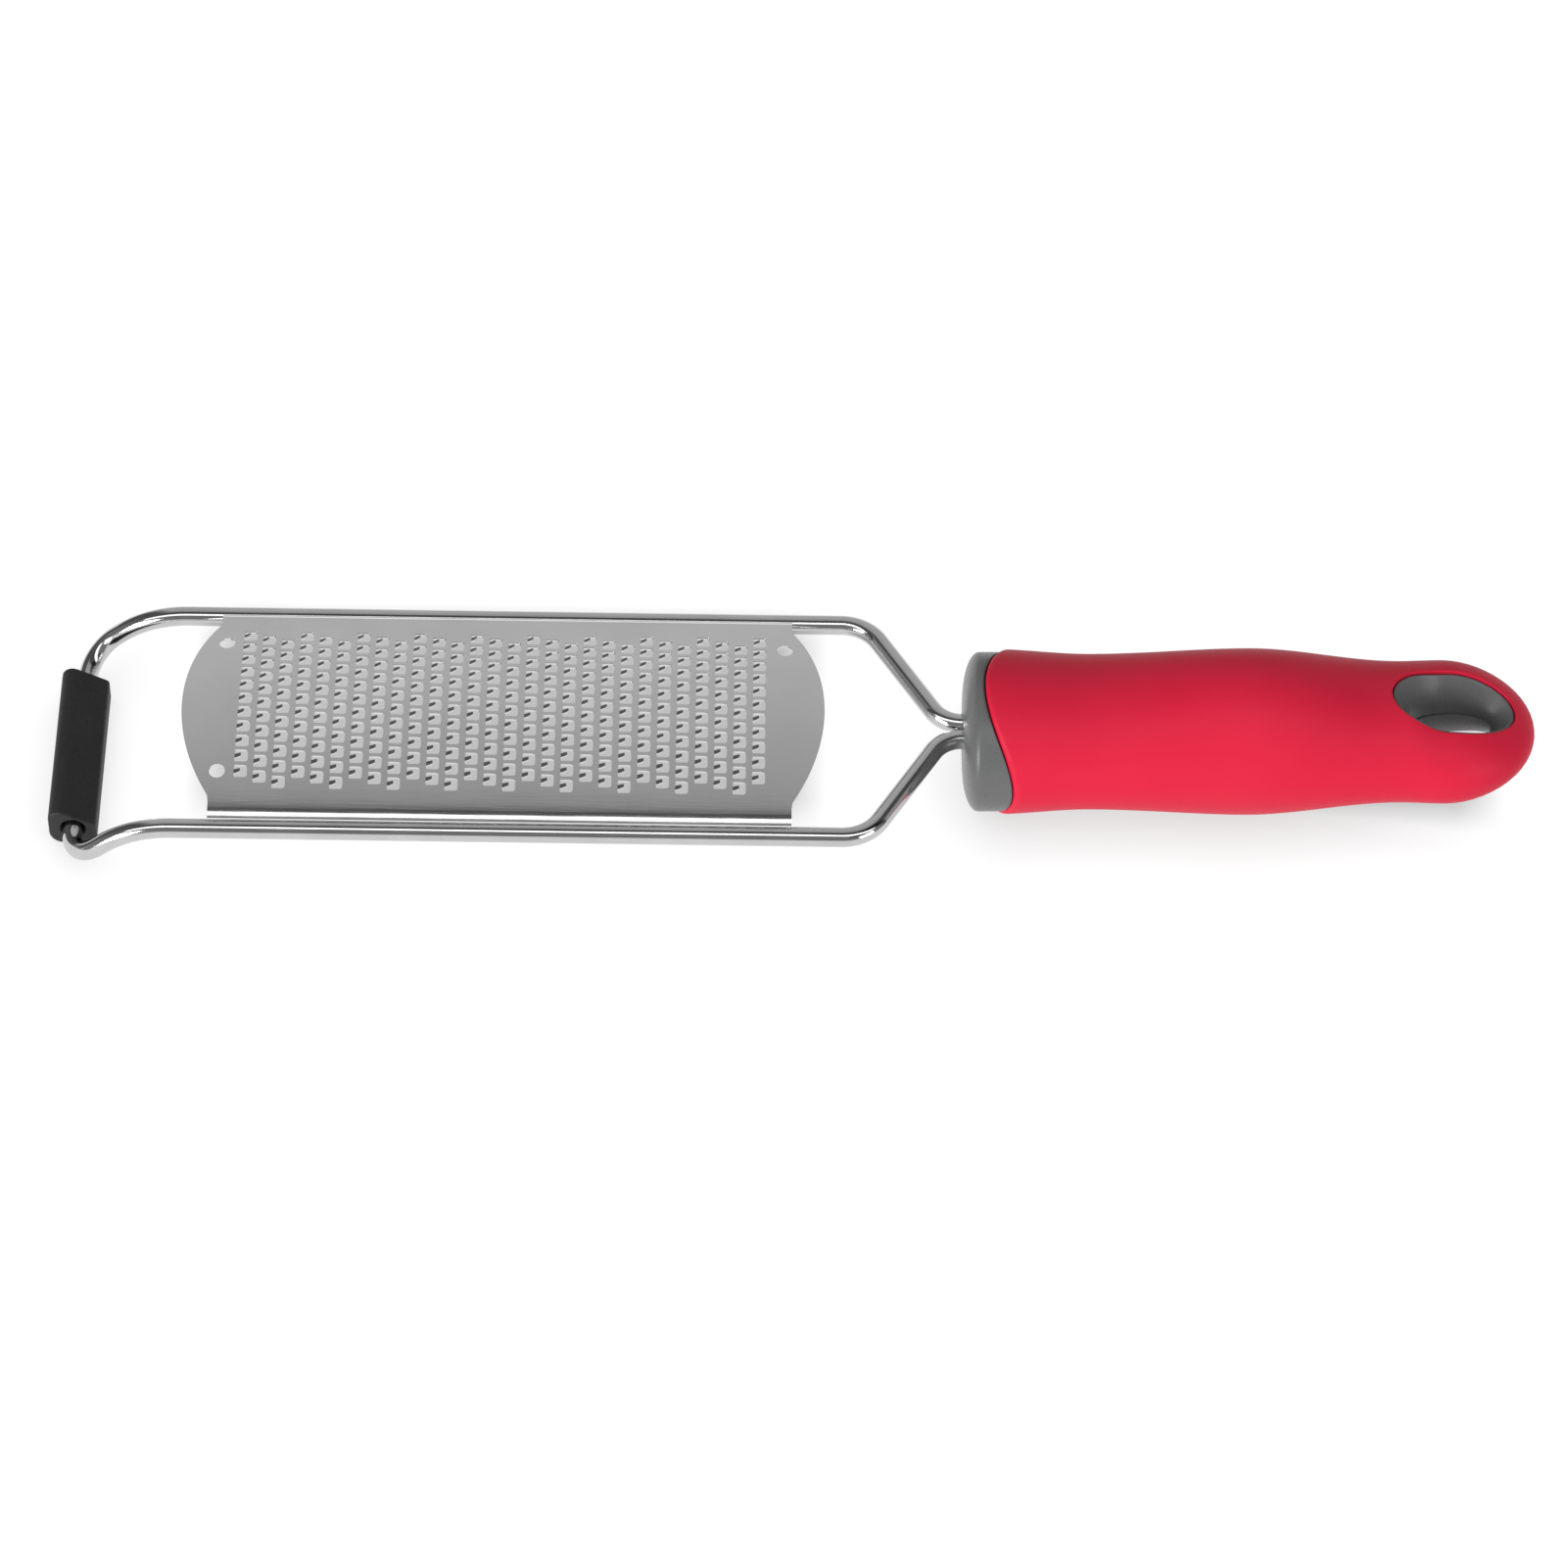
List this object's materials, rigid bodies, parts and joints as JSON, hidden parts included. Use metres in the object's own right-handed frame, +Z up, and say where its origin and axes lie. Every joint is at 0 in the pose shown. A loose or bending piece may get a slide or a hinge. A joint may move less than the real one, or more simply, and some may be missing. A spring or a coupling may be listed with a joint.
{
  "type": "cheese grater",
  "caption": "Hand-held cheese grater: arched toothed steel plate in a bent rod frame, rubber foot at the tip, soft red grip with a hang hole.",
  "frame": {"origin": "middle of the bounding box, at the height of the table that the grater lies on", "axes": "+X from the tip to the handle, +Y across the plate, +Z up with the teeth on top"},
  "size_m": [0.2992, 0.0602, 0.0342],
  "materials": {
    "plate_steel": "satin rolled stainless sheet",
    "chromed_rod": "polished",
    "black_rubber": "matt, finely textured",
    "grey_plastic": "satin moulded",
    "red_soft_touch": "matt soft-touch"
  },
  "bodies": {
    "root": {"grating_plate": "plate_steel", "frame_rod": "chromed_rod", "tip_foot": "black_rubber", "handle_core": "grey_plastic", "handle_grip": "red_soft_touch"}
  },
  "joints": []
}
